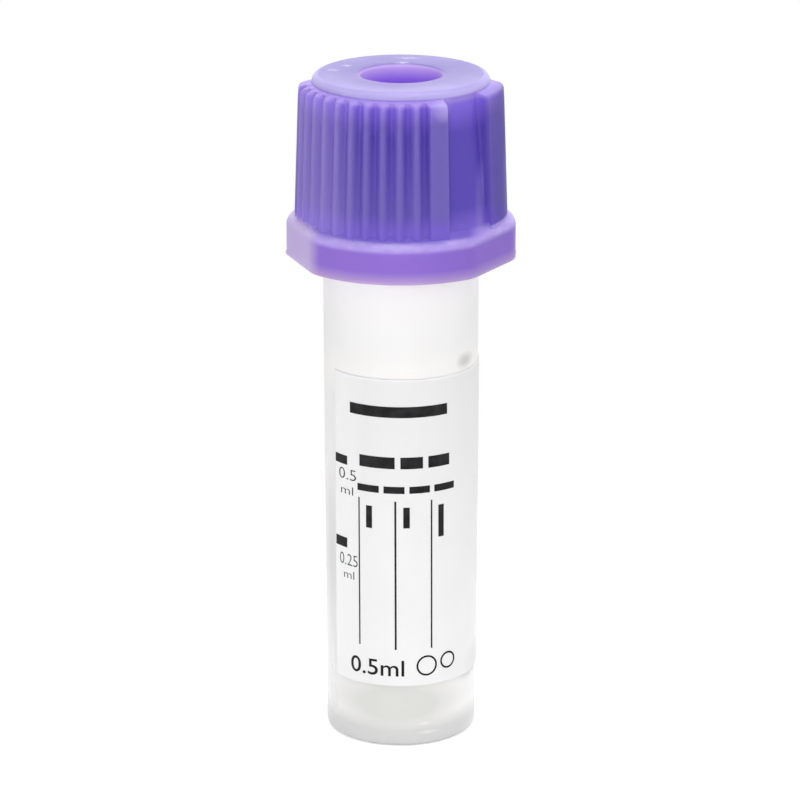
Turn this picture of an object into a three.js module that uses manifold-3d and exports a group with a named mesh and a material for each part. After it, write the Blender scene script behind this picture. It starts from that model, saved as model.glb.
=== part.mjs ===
// Capillary blood collection tube: a sample tube on a hollow skirt, its ribbed
// pull-off cap, and the film label wrapped round it.
//
// Millimetres, +Z up. The tube stands on its skirt, with the origin at the
// centre of the foot. Angles are in degrees round the axis, measured from the
// front (-Y) towards the right (+X).

import * as THREE from 'three';
import { mergeVertices } from 'three/addons/utils/BufferGeometryUtils.js';
import Module from 'manifold-3d';

// ---- Tube ------------------------------------------------------------------
const tubeLength = 40.6;          // foot to rim
const tubeFootRadius = 4.7;       // outside, at the foot
const tubeDraft = 0.16;           // degrees; the outside opens towards the rim
const tubeWall = 0.88;            // side wall and skirt
const floorThickness = 0.9;       // domed floor
const skirtHeight = 5.5;          // foot to the lowest point of the dome
const skirtFillet = 0.4;          // where the dome meets the skirt
const footEdgeRadius = 0.35;      // outside edge that the tube stands on
const footChamfer = 0.2;          // inside edge of the foot
const rimEdgeRadius = 0.3;        // both edges of the rim

// ---- Cap: fit on the tube --------------------------------------------------
const capOverlap = 9.8;           // how far the cap reaches down past the rim
const seatGap = 0.05;             // rim to the underside of the cap's panel
const sleeveClearance = 0.12;     // radial, outside of the tube to the cap
const plugClearance = 0.08;       // radial, plug to the tube's bore
const plugLength = 7.6;           // plug below the panel
const plugLeadIn = 0.5;           // chamfer on the plug's tip
const mouthChamfer = 0.35;        // lead-in at the cap's open end

// ---- Cap: body -------------------------------------------------------------
const panelThickness = 1.5;       // top panel, above the tube's rim
const crownFillet = 0.45;         // top edge of the body
const bodyFootRadius = 6.1;       // smooth body, where it meets the flange
const bodyDraft = 4.7;            // degrees; the body closes towards the top
const gripFootRadius = 6.52;      // over the ribs, where they meet the flange
const gripDraft = 2.0;            // degrees; the ribs' crests close towards the top
const recessRadius = 2.5;         // hole in the top face
const recessDraft = 0.8;          // degrees
const recessEdgeRadius = 0.22;    // rounded edge of the hole
const membraneThickness = 0.8;    // closed end of the plug

// ---- Cap: grip ribs --------------------------------------------------------
// Round the grip: a window, a plain raised block, a window, the rear panel of
// ribs, a window and the front panel of ribs. The block takes what is left.
const windowCentre = 42;          // degrees, the window right of the front panel
const windowWidth = 29.3;         // degrees, each of the three smooth windows
const frontRibs = 10;             // round ribs of the front panel
const rearRibs = 9;               // round ribs of the rear panel
const ribPitch = 9.4;             // degrees, from crest to crest
const ribWidth = 4.7;             // degrees, at half height
const ribFlank = 3.6;             // degrees that a round rib's side takes up
const endRibWidth = 11.7;         // degrees; the flat rib at each panel's end
const endRibFlank = 1.3;          // degrees that its side takes up
const grooveFootDepth = 0.22;     // grooves below the crests, at the flange
const grooveTopDepth = 0.45;      // and at the ribs' upper ends
const ribRoot = 0.08;             // ribs carried on below the body's surface
const ribTopDrop = 0.47;          // top face down to the ribs' upper ends
const ribTopSlope = 16;           // degrees; the upper ends fall outwards
const ribTopEdge = 0.35;          // rounding of the upper ends

// ---- Cap: flange -----------------------------------------------------------
const flangeRadius = 7.1;
const flangeHeight = 2.1;         // cylindrical part
const flangeUpperEdge = 0.45;     // rounding above
const flangeLowerEdge = 0.12;     // rounding below
const shoulderAngle = 37;         // degrees; slope from the flange to the ribs
const flatAngles = [58.5, 175, -69]; // degrees; flats that stop the tube rolling
const flatDepth = 0.42;           // cut into the flange's radius

// ---- Label -----------------------------------------------------------------
const labelBottom = 4.1;
const labelHeight = 20.1;
const labelThickness = 0.06;
const labelStandoff = 0.015;      // adhesive line
const labelStart = -58;           // degrees, the edge beside the scale
const labelSpan = 300;            // degrees; the rest stays bare

// ---- Facets ----------------------------------------------------------------
const turnSegments = 72;          // round the axis
const edgeSegments = 4;           // along an edge rounding
const domeSegments = 9;           // along the domed floor
const flankSegments = 3;          // along a rib's side
const crestStep = 3.5;            // degrees, along a crest or a window
const lowerEdgeSegments = 2;      // along the flange's lower edge
const crownSegments = 6;          // along the crown's edge
const mergeDistance = 1e-5;       // vertices closer than this are one
const labelSegments = 60;

// ---- Sizes that follow from the ones above ---------------------------------
const radians = THREE.MathUtils.degToRad;
const tubeRadiusAt = (z) => tubeFootRadius + z * Math.tan(radians(tubeDraft));
const boreRadiusAt = (z) => tubeRadiusAt(z) - tubeWall;

const capBottom = tubeLength - capOverlap;
const panelUnderside = tubeLength + seatGap;
const capTop = panelUnderside + panelThickness;
const sleeveRadius = tubeRadiusAt(tubeLength) + sleeveClearance;
const plugBottom = panelUnderside - plugLength;
const plugRadius = boreRadiusAt(plugBottom) - plugClearance;
const recessFloor = plugBottom + membraneThickness;

const flangeTop = capBottom + flangeHeight;
const shoulderAt = (r) => flangeTop + (flangeRadius - r) * Math.tan(radians(shoulderAngle));
const gripFoot = shoulderAt(gripFootRadius);
const closingAt = (z, draft) => (z - gripFoot) * Math.tan(radians(draft));
const crestRadiusAt = (z) => gripFootRadius - closingAt(z, gripDraft);
const bodyRadiusAt = (z) => bodyFootRadius - closingAt(z, bodyDraft);
const ribTop = capTop - ribTopDrop;
const grooveDepthAt = (z) => {
  const share = (z - gripFoot) / (ribTop - gripFoot);
  return grooveFootDepth + (grooveTopDepth - grooveFootDepth) * share;
};
const groove = ribPitch - ribWidth;
const panelWidth = (ribs) => 2 * endRibWidth + ribs * ribPitch + groove;
const windowRootDepth = gripFootRadius - bodyFootRadius + ribRoot;
const cutMargin = 1;              // how far cutters run past what they cut

// ---- Outlines and geometry -------------------------------------------------

// A point of a turned outline: radius and height.
const at = (r, z) => new THREE.Vector2(r, z);

// Points along a round edge centred on (r, z), from one angle to another.
function arc(r, z, radius, from, to, segments = edgeSegments) {
  const points = [];
  for (let i = 0; i <= segments; i++) {
    const t = radians(from + ((to - from) * i) / segments);
    points.push(at(r + radius * Math.cos(t), z + radius * Math.sin(t)));
  }
  return points;
}

// A point seen from above, at an angle from the front.
function polar(radius, degrees) {
  const t = radians(degrees - 90);
  return new THREE.Vector2(radius * Math.cos(t), radius * Math.sin(t));
}

// Turns an outline round the axis. It runs from the axis out, up and back.
function turned(points) {
  return new THREE.LatheGeometry(points, turnSegments).rotateX(Math.PI / 2);
}

// Raises an outline seen from above between two heights.
function raised(shape, bottom, top, curveSegments = 1) {
  const settings = { depth: top - bottom, bevelEnabled: false, curveSegments };
  return new THREE.ExtrudeGeometry(shape, settings).translate(0, 0, bottom);
}

// Gives every vertex a new radius, worked out from its radius and height.
function reshaped(geometry, radiusAt) {
  const position = geometry.attributes.position;
  for (let i = 0; i < position.count; i++) {
    const [x, y, z] = [position.getX(i), position.getY(i), position.getZ(i)];
    const radius = Math.hypot(x, y);
    const factor = radiusAt(radius, z) / radius;
    position.setXY(i, x * factor, y * factor);
  }
  return geometry;
}

// ---- Joining and cutting ---------------------------------------------------

const wasm = await Module();
wasm.setup();

// A closed geometry as a solid, without the empty triangles at the axis.
function solidOf(geometry) {
  geometry.deleteAttribute('normal');
  geometry.deleteAttribute('uv');
  const merged = mergeVertices(geometry, mergeDistance);
  const corners = merged.index.array;
  const kept = [];
  for (let i = 0; i < corners.length; i += 3) {
    const [a, b, c] = corners.slice(i, i + 3);
    if (a !== b && b !== c && c !== a) kept.push(a, b, c);
  }
  return new wasm.Manifold(new wasm.Mesh({
    numProp: 3,
    vertProperties: Float32Array.from(merged.attributes.position.array),
    triVerts: Uint32Array.from(kept),
  }));
}

// A solid as a geometry.
function geometryOf(solid) {
  const { vertProperties, triVerts } = solid.getMesh();
  const geometry = new THREE.BufferGeometry();
  geometry.setAttribute('position', new THREE.BufferAttribute(vertProperties, 3));
  geometry.setIndex(new THREE.BufferAttribute(triVerts, 1));
  geometry.computeVertexNormals();
  return geometry;
}

// ---- Tube ------------------------------------------------------------------

// One moulding: a round-bottomed bore above a hollow skirt.
function tubeGeometry() {
  const domeZ = skirtHeight + floorThickness + boreRadiusAt(skirtHeight);
  const boreRadius = boreRadiusAt(domeZ);
  const outerDome = boreRadius + floorThickness;
  const skirtTop = boreRadiusAt(skirtHeight) - skirtFillet;
  const domeStop = -THREE.MathUtils.radToDeg(Math.acos(skirtTop / outerDome));
  const skirtTopZ = domeZ + outerDome * Math.sin(radians(domeStop));
  const rimOutside = tubeRadiusAt(tubeLength) - rimEdgeRadius;
  const rimInside = boreRadiusAt(tubeLength) + rimEdgeRadius;
  const rimZ = tubeLength - rimEdgeRadius;
  return turned([
    ...fromAxis(arc(0, domeZ, outerDome, -90, domeStop, domeSegments)),
    at(boreRadiusAt(skirtHeight), skirtTopZ),
    at(boreRadiusAt(0), footChamfer),
    at(boreRadiusAt(0) + footChamfer, 0),
    ...arc(tubeFootRadius - footEdgeRadius, footEdgeRadius, footEdgeRadius, -90, 0),
    ...arc(rimOutside, rimZ, rimEdgeRadius, 0, 90),
    ...arc(rimInside, rimZ, rimEdgeRadius, 90, 180),
    ...fromAxis(arc(0, domeZ, boreRadius, -90, 0, domeSegments)).reverse(),
  ]);
}

// An arc that starts on the axis, with its first point exactly there.
function fromAxis(points) {
  points[0].x = 0;
  return points;
}

// ---- Cap -------------------------------------------------------------------

// The cap without ribs, flats and hollows: flange, shoulder and rounded crown.
function capBodySolid() {
  const crownZ = capTop - crownFillet;
  const flangeInner = flangeRadius - flangeLowerEdge;
  const edgeZ = flangeTop - flangeUpperEdge * Math.tan(radians((90 - shoulderAngle) / 2));
  return solidOf(turned([
    at(0, capBottom),
    ...arc(flangeInner, capBottom + flangeLowerEdge, flangeLowerEdge, -90, 0, lowerEdgeSegments),
    ...arc(flangeRadius - flangeUpperEdge, edgeZ, flangeUpperEdge, 0, 90 - shoulderAngle),
    at(bodyFootRadius, shoulderAt(bodyFootRadius)),
    ...arc(bodyRadiusAt(crownZ) - crownFillet, crownZ, crownFillet, 0, 90, crownSegments),
    at(0, capTop),
  ]));
}

// A rib's outline at the foot of the grip, from its left side to its right.
// Each side falls from the crest to a depth of its own.
function ribOutline(centre, width, flank, leftDepth, rightDepth) {
  const crest = (width - flank) / 2;
  const crestSegments = Math.ceil((2 * crest) / crestStep);
  const point = (angle, depth) => polar(gripFootRadius - depth, centre + angle);
  const points = [];
  for (let i = 0; i < flankSegments; i++) {
    const share = i / flankSegments;
    const fall = 1 - THREE.MathUtils.smoothstep(share, 0, 1);
    points.push(point(-crest - flank * (1 - share), leftDepth * fall));
  }
  for (let i = 0; i <= crestSegments; i++) {
    points.push(point(crest * ((2 * i) / crestSegments - 1), 0));
  }
  for (let i = 1; i <= flankSegments; i++) {
    const share = i / flankSegments;
    points.push(point(crest + flank * share, rightDepth * THREE.MathUtils.smoothstep(share, 0, 1)));
  }
  return points;
}

// A panel of round ribs between two flat end ribs, from its left end.
function panelOutline(start, ribs) {
  const end = start + panelWidth(ribs);
  const first = start + endRibWidth + groove + ribWidth / 2;
  const points = ribOutline(
    start + endRibWidth / 2, endRibWidth, endRibFlank, windowRootDepth, grooveFootDepth);
  for (let rib = 0; rib < ribs; rib++) {
    points.push(...ribOutline(
      first + rib * ribPitch, ribWidth, ribFlank, grooveFootDepth, grooveFootDepth));
  }
  points.push(...ribOutline(
    end - endRibWidth / 2, endRibWidth, endRibFlank, grooveFootDepth, windowRootDepth));
  return points;
}

// The outline across a window, just inside the body's surface.
function windowOutline(start) {
  const segments = Math.ceil(windowWidth / crestStep);
  const points = [];
  for (let i = 1; i < segments; i++) {
    points.push(polar(gripFootRadius - windowRootDepth, start + (windowWidth * i) / segments));
  }
  return points;
}

// The outline of the whole grip at its foot, from the first window round.
function gripShape() {
  const blockWidth = 360 - 3 * windowWidth - panelWidth(frontRibs) - panelWidth(rearRibs);
  const block = windowCentre + windowWidth / 2;
  const rear = block + blockWidth + windowWidth;
  const front = rear + panelWidth(rearRibs) + windowWidth;
  return new THREE.Shape([
    ...ribOutline(
      block + blockWidth / 2, blockWidth, endRibFlank, windowRootDepth, windowRootDepth),
    ...windowOutline(block + blockWidth),
    ...panelOutline(rear, rearRibs),
    ...windowOutline(rear + panelWidth(rearRibs)),
    ...panelOutline(front, frontRibs),
    ...windowOutline(front + panelWidth(frontRibs)),
  ]);
}

// The ribs: the crests close and the grooves deepen towards the top, where the
// ribs' ends slope and are rounded off.
function ribSolid() {
  const bottom = flangeTop - flangeUpperEdge;
  const grip = raised(gripShape(), bottom, capTop + cutMargin);
  const shaped = reshaped(grip, (radius, z) => {
    return crestRadiusAt(z) - (gripFootRadius - radius) * (grooveDepthAt(z) / grooveFootDepth);
  });
  const edgeR = crestRadiusAt(ribTop) - ribTopEdge;
  const lineZ = ribTop - (edgeR - bodyRadiusAt(ribTop)) * Math.tan(radians(ribTopSlope));
  const edgeZ = lineZ - ribTopEdge / Math.cos(radians(ribTopSlope));
  const limit = solidOf(turned([
    at(0, bottom - cutMargin),
    at(gripFootRadius + cutMargin, bottom - cutMargin),
    at(gripFootRadius + cutMargin, edgeZ - cutMargin),
    ...arc(edgeR, edgeZ, ribTopEdge, 0, 90 - ribTopSlope),
    at(bodyRadiusAt(ribTop), ribTop),
    at(0, ribTop),
  ]));
  return solidOf(shaped).intersect(limit);
}

// A block that takes one flat off the flange.
function flatCutter(angle) {
  const width = 2 * flangeRadius;
  const height = gripFoot - capBottom + 2 * cutMargin;
  const distance = flangeRadius - flatDepth + width / 2;
  const block = new THREE.BoxGeometry(width, width, height);
  block.translate(0, -distance, capBottom + height / 2 - cutMargin);
  return solidOf(block.rotateZ(radians(angle)));
}

// The space under the panel: the sleeve that takes the tube, round the plug.
function socketCutter() {
  const tip = plugRadius - plugLeadIn;
  return solidOf(turned([
    at(0, capBottom - cutMargin),
    at(sleeveRadius + mouthChamfer + cutMargin, capBottom - cutMargin),
    at(sleeveRadius, capBottom + mouthChamfer),
    at(sleeveRadius, panelUnderside),
    at(plugRadius, panelUnderside),
    at(plugRadius, plugBottom + plugLeadIn),
    at(tip, plugBottom),
    at(0, plugBottom),
  ]));
}

// The hole in the top face, down to the closed end of the plug.
function recessCutter() {
  const floorRadius = recessRadius - (capTop - recessFloor) * Math.tan(radians(recessDraft));
  const edgeR = recessRadius + recessEdgeRadius;
  const edge = arc(edgeR, capTop - recessEdgeRadius, recessEdgeRadius, 180, 90);
  return solidOf(turned([
    at(0, recessFloor),
    at(floorRadius, recessFloor),
    ...edge,
    at(edgeR, capTop + cutMargin),
    at(0, capTop + cutMargin),
  ]));
}

// One moulding: body and ribs, with the flats, the socket and the hole cut.
function capGeometry() {
  let body = capBodySolid();
  for (const angle of flatAngles) body = body.subtract(flatCutter(angle));
  return geometryOf(body.add(ribSolid()).subtract(socketCutter()).subtract(recessCutter()));
}

// ---- Label -----------------------------------------------------------------

// A film band that follows the tube's draft.
function labelGeometry() {
  const inner = tubeRadiusAt(labelBottom) + labelStandoff;
  const [start, end] = [radians(labelStart - 90), radians(labelStart + labelSpan - 90)];
  const band = new THREE.Shape();
  band.absarc(0, 0, inner + labelThickness, start, end, false);
  band.absarc(0, 0, inner, end, start, true);
  const flat = raised(band, labelBottom, labelBottom + labelHeight, labelSegments);
  const growth = (z) => tubeRadiusAt(z) - tubeRadiusAt(labelBottom);
  return reshaped(flat, (radius, z) => radius + growth(z));
}

// ---- Assembly --------------------------------------------------------------

function part(name, geometry, color, roughness, opacity = 1) {
  const material = new THREE.MeshStandardMaterial({ color, roughness, metalness: 0 });
  material.opacity = opacity;
  material.transparent = opacity < 1;
  const mesh = new THREE.Mesh(geometry, material);
  mesh.name = name;
  return mesh;
}

const bloodTube = new THREE.Group();
bloodTube.add(
  part('tube', tubeGeometry(), 0xf0efec, 0.3, 0.55),
  part('cap', capGeometry(), 0x8f78d2, 0.45),
  part('label', labelGeometry(), 0xf4f4f4, 0.4),
);

export default bloodTube;
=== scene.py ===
"""Dresses a capillary blood collection tube: milky tube, violet cap, film label.

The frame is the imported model's: +Z up, the foot at z = 0, the axis through the
origin and the printed front towards -Y. The classes hold their sizes in
millimetres and their meshes are put in as metres. Angles round the axis are in
degrees from the front, positive towards +X.
"""

import logging
import math
from dataclasses import dataclass, field
from enum import Enum

import bmesh
import bpy
import numpy as np
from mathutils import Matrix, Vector


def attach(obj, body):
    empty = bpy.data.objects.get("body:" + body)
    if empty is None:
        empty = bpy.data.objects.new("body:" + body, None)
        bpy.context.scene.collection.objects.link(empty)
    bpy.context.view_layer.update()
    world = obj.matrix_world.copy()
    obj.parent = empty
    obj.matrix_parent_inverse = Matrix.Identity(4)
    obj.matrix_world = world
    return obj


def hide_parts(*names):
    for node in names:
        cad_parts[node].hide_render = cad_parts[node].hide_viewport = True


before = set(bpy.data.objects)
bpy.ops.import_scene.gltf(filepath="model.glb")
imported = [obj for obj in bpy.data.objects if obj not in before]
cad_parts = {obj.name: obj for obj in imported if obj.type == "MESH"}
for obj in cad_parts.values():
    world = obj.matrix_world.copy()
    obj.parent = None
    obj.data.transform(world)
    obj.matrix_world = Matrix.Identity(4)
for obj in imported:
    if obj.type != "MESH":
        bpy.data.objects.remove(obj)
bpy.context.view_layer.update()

log = logging.getLogger("blood_tube")

MM = 0.001

Array = np.ndarray
Length = float | np.ndarray
Piece = bpy.types.Object
Socket = bpy.types.NodeSocket
Color = tuple[float, float, float, float]
Point = tuple[float, float]
Place = tuple[float, float, float]
Stops = tuple[float, float, float, float]


class Body(Enum):
    """The bodies that pieces ride on."""

    TUBE = "tube"
    CAP = "cap"


class Slot(Enum):
    """Material slot names, which nothing here uses."""

    TUBE = "tube"
    CAP = "cap"
    LABEL = "label"


class Weight(Enum):
    """Stroke weights of printed figures, as a share of their height."""

    LIGHT = -0.012
    BOLD = 0.006


# --- Numbers and profiles ---


def srgb(red: float, green: float, blue: float) -> Color:
    """Turns a display colour into the linear one that shaders take.

    Args:
        red: display value from 0 to 255.
        green: display value from 0 to 255.
        blue: display value from 0 to 255.

    Returns:
        Linear red, green and blue from 0 to 1, and an opacity of 1.
    """
    shown = np.array([red, green, blue]) / 255.0
    linear = np.where(shown <= 0.04045, shown / 12.92, ((shown + 0.055) / 1.055) ** 2.4)
    return (float(linear[0]), float(linear[1]), float(linear[2]), 1.0)


def smoothstep(value: Array) -> Array:
    """Eases from 0 to 1: three squares less two cubes of the value held to 0..1."""
    held = np.clip(value, 0.0, 1.0)
    return held * held * (3.0 - 2.0 * held)


def arc(r: float, z: float, radius: float, start: float, end: float, count: int) -> Array:
    """Points of a round edge: the centre (r, z) plus the radius times (cos, sin), ends included."""
    turn = np.radians(np.linspace(start, end, count))
    return np.stack([r + radius * np.cos(turn), z + radius * np.sin(turn)], axis=1)


def straight(start: Point, end: Point, count: int) -> Array:
    """Evenly spaced points of a straight stretch of (radius, height), ends included."""
    share = np.linspace(0.0, 1.0, count)[:, None]
    return np.asarray(start) * (1.0 - share) + np.asarray(end) * share


def around(count: int) -> Array:
    """Angles in degrees of the columns round the axis, from the front once round."""
    return np.linspace(0.0, 360.0, count, endpoint=False)


def wrapped(degrees: Array) -> Array:
    """The same angles brought into -180 to 180."""
    return (degrees + 180.0) % 360.0 - 180.0


def placed(radius: Array, degrees: Array, height: Array) -> Array:
    """Points on turned surfaces: (r sin a, -r cos a, z) for radius r, angle a, height z.

    Args:
        radius: distances from the axis in millimetres.
        degrees: angles from the front.
        height: heights in millimetres.

    Returns:
        Array with the broadcast shape of the three and a last axis of 3.
    """
    radius, degrees, height = np.broadcast_arrays(radius, degrees, height)
    turn = np.radians(degrees)
    return np.stack([radius * np.sin(turn), -radius * np.cos(turn), height], axis=-1)


# --- Meshes ---


def piece_from(name: str, points: Array, faces: list[Array], sharp: float = 40.0) -> Piece:
    """Makes an object at the origin from whole arrays.

    Args:
        name: the piece's name.
        points: vertex places in millimetres, shape (n, 3).
        faces: arrays of vertex numbers, each of shape (m, corners).
        sharp: angle in degrees over which an edge stays sharp.

    Returns:
        The linked object.
    """
    mesh = bpy.data.meshes.new(name)
    corners = np.concatenate([block.ravel() for block in faces]).astype(np.int32)
    sizes = np.concatenate([np.full(len(block), block.shape[1], np.int32) for block in faces])
    mesh.vertices.add(len(points))
    mesh.vertices.foreach_set("co", (points * MM).astype(np.float32).ravel())
    mesh.loops.add(len(corners))
    mesh.loops.foreach_set("vertex_index", corners)
    mesh.polygons.add(len(sizes))
    mesh.polygons.foreach_set("loop_start", (np.cumsum(sizes) - sizes).astype(np.int32))
    mesh.update(calc_edges=True)
    mesh.polygons.foreach_set("use_smooth", np.ones(len(sizes), bool))
    mesh.set_sharp_from_angle(angle=math.radians(sharp))
    return linked(name, mesh)


def linked(name: str, data: bpy.types.ID) -> Piece:
    """Puts a mesh, text, lamp or camera into the scene at the origin.

    Args:
        name: the object's name.
        data: what it shows.

    Returns:
        The linked object.
    """
    piece = bpy.data.objects.new(name, data)
    bpy.context.scene.collection.objects.link(piece)
    return piece


def turned_piece(name: str, radii: Array, heights: Array) -> Piece:
    """Makes a closed solid from rings stacked between two poles on the axis.

    Formula: ring i at angle a is (r sin a, -r cos a, z) with r and z from the
    arrays. A fan to a point on the axis closes the first ring and the last.

    Args:
        name: the piece's name.
        radii: radius in millimetres, shape (rings, columns); the rings run from
            the axis out, up and back, so that faces point outwards.
        heights: height in millimetres, same shape.

    Returns:
        The linked object.
    """
    rings, columns = radii.shape
    points = placed(radii, around(columns)[None, :], heights).reshape(-1, 3)
    poles = np.array([[0.0, 0.0, heights[0].mean()], [0.0, 0.0, heights[-1].mean()]])
    row = np.arange(rings - 1)[:, None] * columns
    here = np.arange(columns)[None, :]
    following = (here + 1) % columns
    corners = [row + here, row + following, row + columns + following, row + columns + here]
    quads = np.stack(corners, axis=2).reshape(-1, 4)
    low, high, last = rings * columns, rings * columns + 1, (rings - 1) * columns
    under = np.stack([np.full(columns, low), following[0], here[0]], axis=1)
    over = np.stack([np.full(columns, high), last + here[0], last + following[0]], axis=1)
    return piece_from(name, np.concatenate([points, poles]), [quads, under, over])


def sheet_arrays(outer: Array, inner: Array, first: int = 0) -> tuple[Array, Array]:
    """The vertices and quads of a thin closed sheet.

    Formula: the outer and the inner grid are joined along all four edges by a
    strip of quads.

    Args:
        outer: outer points, shape (rows, columns, 3), rows going up and columns
            going left to right seen from outside.
        inner: inner points, same shape.
        first: number of the first vertex.

    Returns:
        Vertices of shape (n, 3) and quads of shape (m, 4).
    """
    rows, columns = outer.shape[:2]
    front = np.arange(rows * columns).reshape(rows, columns) + first
    back = front + rows * columns
    ahead = np.stack([front[:-1, :-1], front[:-1, 1:], front[1:, 1:], front[1:, :-1]], axis=2)
    behind = np.stack([back[:-1, :-1], back[1:, :-1], back[1:, 1:], back[:-1, 1:]], axis=2)
    rim = np.concatenate([front[0], front[1:, -1], front[-1, -2::-1], front[-2:0:-1, 0]])
    following = np.roll(rim, -1)
    strip = np.stack([following, rim, rim + rows * columns, following + rows * columns], axis=1)
    quads = np.concatenate([ahead.reshape(-1, 4), behind.reshape(-1, 4), strip])
    return np.concatenate([outer.reshape(-1, 3), inner.reshape(-1, 3)]), quads


# --- Finishes ---


@dataclass(frozen=True)
class Spot:
    """A soft-edged ellipsoid of another colour, in millimetres."""

    middle: Place
    half: Place
    soft: float
    color: Color
    share: float = 1.0


@dataclass(frozen=True)
class Zone:
    """A soft-edged stretch across and up of another colour, in millimetres."""

    across: Stops
    up: Stops
    share: float
    color: Color
    matt: bool = False


class Shading:
    """The node tree of a material or of the surroundings, under construction."""

    def __init__(self, owner: bpy.types.Material | bpy.types.World, output: str = "Material") -> None:
        """Empties the owner's tree but for an output node.

        Args:
            owner: whose tree it is.
            output: the output node's kind, Material or World.
        """
        self.owner = owner
        owner.use_nodes = True
        self.tree = owner.node_tree
        self.tree.nodes.clear()
        self.output = self.add("Output" + output)

    def add(
        self, kind: str, inputs: dict[str | int, object] | None = None, **settings: object
    ) -> bpy.types.Node:
        """Adds a node.

        Args:
            kind: the node's type without the ShaderNode prefix.
            inputs: socket name or number to a value or another node's socket.
            **settings: the node's own properties.

        Returns:
            The new node.
        """
        node = self.tree.nodes.new("ShaderNode" + kind)
        for key, value in settings.items():
            setattr(node, key, value)
        for key, value in (inputs or {}).items():
            if isinstance(value, Socket):
                self.tree.links.new(value, node.inputs[key])
            else:
                node.inputs[key].default_value = value
        return node

    def place(self) -> Socket:
        """The object coordinates of the shaded point, in metres."""
        return self.add("TexCoord").outputs["Object"]

    def part(self, axis: str) -> Socket:
        """One part of the shaded point's place: X, Y or Z."""
        return self.add("SeparateXYZ", {"Vector": self.place()}).outputs[axis]

    def length(self, vector: Socket) -> Socket:
        """The length of a vector."""
        return self.add("VectorMath", {0: vector}, operation="LENGTH").outputs["Value"]

    def reach(self) -> Socket:
        """The shaded point's distance from the axis."""
        level = self.add("VectorMath", {0: self.place(), 1: (1.0, 1.0, 0.0)}, operation="MULTIPLY")
        return self.length(level.outputs["Vector"])

    def cloud(self, scale: float, detail: float, stretch: Point = (1.0, 1.0)) -> Socket:
        """A cloudy value about 0.5.

        Args:
            scale: features per metre.
            detail: octaves.
            stretch: factors across the axis and along it.

        Returns:
            The value's socket.
        """
        factors = (stretch[0], stretch[0], stretch[1])
        mapped = self.add("Mapping", {"Vector": self.place(), "Scale": factors})
        inputs = {"Vector": mapped.outputs["Vector"], "Scale": scale, "Detail": detail}
        return self.add("TexNoise", inputs).outputs["Fac"]

    def ramp(self, value: Socket, stops: list[tuple[float, Color]]) -> Socket:
        """A colour read from a value.

        Args:
            value: the value.
            stops: positions and colours in rising order.

        Returns:
            The colour's socket.
        """
        node = self.add("ValToRGB", {"Fac": value})
        bar = node.color_ramp
        while len(bar.elements) < len(stops):
            bar.elements.new(0.5)
        for element, (position, color) in zip(bar.elements, stops):
            element.position = position
            element.color = color
        return node.outputs["Color"]

    def math(self, operation: str, *values: object) -> Socket:
        """The result of a sum, under Blender's name for it, on values or sockets."""
        return self.add("Math", dict(enumerate(values)), operation=operation).outputs[0]

    def moved(self, value: Socket, source: Point, target: Point = (0.0, 1.0)) -> Socket:
        """A value moved from one range to another and held at its ends."""
        ends = dict(zip(("From Min", "From Max", "To Min", "To Max"), source + target))
        return self.add("MapRange", {"Value": value, **ends}).outputs["Result"]

    def fade(self, value: Socket, start: float, end: float, full: float = 1.0) -> Socket:
        """A share that goes from 0 at one place to full at another, both in millimetres."""
        return self.moved(value, (start * MM, end * MM), (0.0, full))

    def band(self, value: Socket, stops: Stops) -> Socket:
        """A share that rises from the first stop to the second and falls from the third on."""
        start, full, leave, end = stops
        return self.math("MULTIPLY", self.fade(value, start, full), self.fade(value, end, leave))

    def mixed(self, share: object, first: object, second: object) -> Socket:
        """A colour between two: the first where the share is 0 and the second where it is 1."""
        return self.add("Mix", {0: share, 6: first, 7: second}, data_type="RGBA").outputs[2]

    def spotted(self, shade: Socket, spots: tuple[Spot, ...], wear_or_glint: object = 1.0) -> Socket:
        """Mixes spots over a colour in order.

        Formula: the distance from a spot's middle, each part over its own half
        size, turned into a share that is 1 inside and 0 from the edge outward.

        Args:
            shade: the colour so far.
            spots: the spots.
            wear_or_glint: a share for them all, as a value or a socket.

        Returns:
            The new colour's socket.
        """
        for spot in spots:
            centre = tuple(part * MM for part in spot.middle)
            scale = tuple(1.0 / (part * MM) for part in spot.half)
            off = self.add("VectorMath", {0: self.place(), 1: centre}, operation="SUBTRACT")
            scaled = self.add("VectorMath", {0: off.outputs["Vector"], 1: scale}, operation="MULTIPLY")
            inside = self.moved(self.length(scaled.outputs["Vector"]), (1.0, 1.0 - spot.soft))
            share = self.math("MULTIPLY", self.math("MULTIPLY", inside, spot.share), wear_or_glint)
            shade = self.mixed(share, shade, spot.color)
        return shade

    def zone(self, zone: Zone) -> Socket:
        """A zone's share: its bands across and up, and its strength, multiplied."""
        across, up = self.band(self.part("X"), zone.across), self.band(self.part("Z"), zone.up)
        return self.math("MULTIPLY", self.math("MULTIPLY", across, up), zone.share)

    def bump(self, height: Socket, depth: float, strength: float) -> Socket:
        """A normal that follows a height, a height of 1 being a depth in metres."""
        inputs = {"Height": height, "Distance": depth, "Strength": strength}
        return self.add("Bump", inputs).outputs["Normal"]

    def finished(self, shader: Socket) -> bpy.types.Material | bpy.types.World:
        """Links the surface shader and gives back the owner."""
        self.tree.links.new(shader, self.output.inputs["Surface"])
        return self.owner

    def moulded(self, cloud: Socket, rough: Point, inputs: dict[str, object]) -> bpy.types.Material:
        """Finishes with a Principled shader.

        Args:
            cloud: the cloudy value that the roughness follows.
            rough: the roughness where it is low and where it is high.
            inputs: the shader's other sockets.

        Returns:
            The material.
        """
        roughness = self.moved(cloud, (0.3, 0.7), rough)
        shader = self.add("BsdfPrincipled", {"Roughness": roughness, **inputs})
        return self.finished(shader.outputs["BSDF"])


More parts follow.
